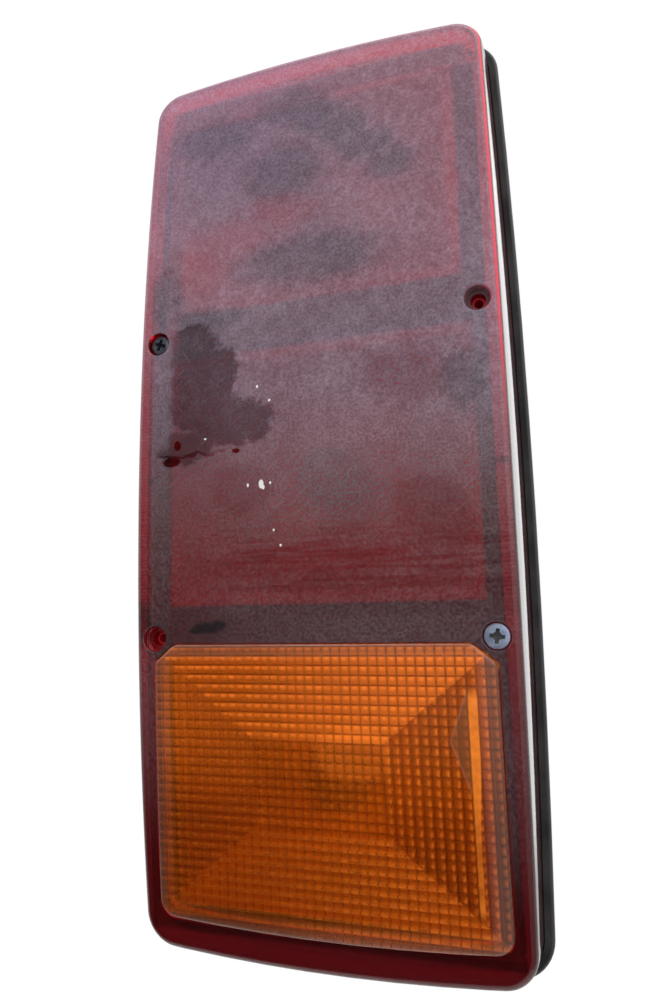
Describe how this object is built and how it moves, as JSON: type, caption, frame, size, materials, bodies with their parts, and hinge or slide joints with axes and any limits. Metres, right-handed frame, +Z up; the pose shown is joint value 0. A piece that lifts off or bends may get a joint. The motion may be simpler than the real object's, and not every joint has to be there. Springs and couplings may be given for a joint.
{
  "type": "tail light cluster",
  "caption": "Tall vehicle tail light cluster: bowed red lens with an amber indicator pane, screwed to a black moulded housing with bulb sockets and rear mounting studs.",
  "frame": {"origin": "centre of the four mounting studs, on the face of the panel that the gasket lies on", "axes": "+Z up along the lamp's height, +Y into the panel along the studs, the lens faces -Y, +X to the viewer's right"},
  "size_m": [0.1518, 0.0757, 0.3508],
  "materials": {
    "red_plastic": "translucent red acrylic, dusty and dull on its upper part",
    "amber_plastic": "translucent amber acrylic, glossy",
    "rubber": "matt black rubber",
    "black_plastic": "black moulded plastic",
    "zinc_steel": "zinc plated steel",
    "black_steel": "black passivated steel",
    "metallised": "vacuum metallised plastic",
    "bulb_glass": "clear glass bulb on a nickel plated base",
    "phenolic": "brown phenolic board",
    "brass": "stamped brass"
  },
  "bodies": {
    "root": {"amber_lens": "amber_plastic", "body_gasket": "rubber", "earth_strip": "brass", "housing": "black_plastic", "indicator_bulb": "bulb_glass", "indicator_contact_carrier": "phenolic", "indicator_feed_terminal": "brass", "indicator_reflector": "metallised", "indicator_socket": "zinc_steel", "lens_seal": "rubber", "lower_right_lens_screw": "zinc_steel", "middle_bulb": "bulb_glass", "middle_contact_carrier": "phenolic", "middle_feed_terminal": "brass", "middle_reflector": "metallised", "middle_socket": "zinc_steel", "mounting_studs": "zinc_steel", "red_lens": "red_plastic", "upper_bulb": "bulb_glass", "upper_contact_carrier": "phenolic", "upper_feed_terminal": "brass", "upper_left_lens_screw": "black_steel", "upper_reflector": "metallised", "upper_socket": "zinc_steel"}
  },
  "joints": []
}
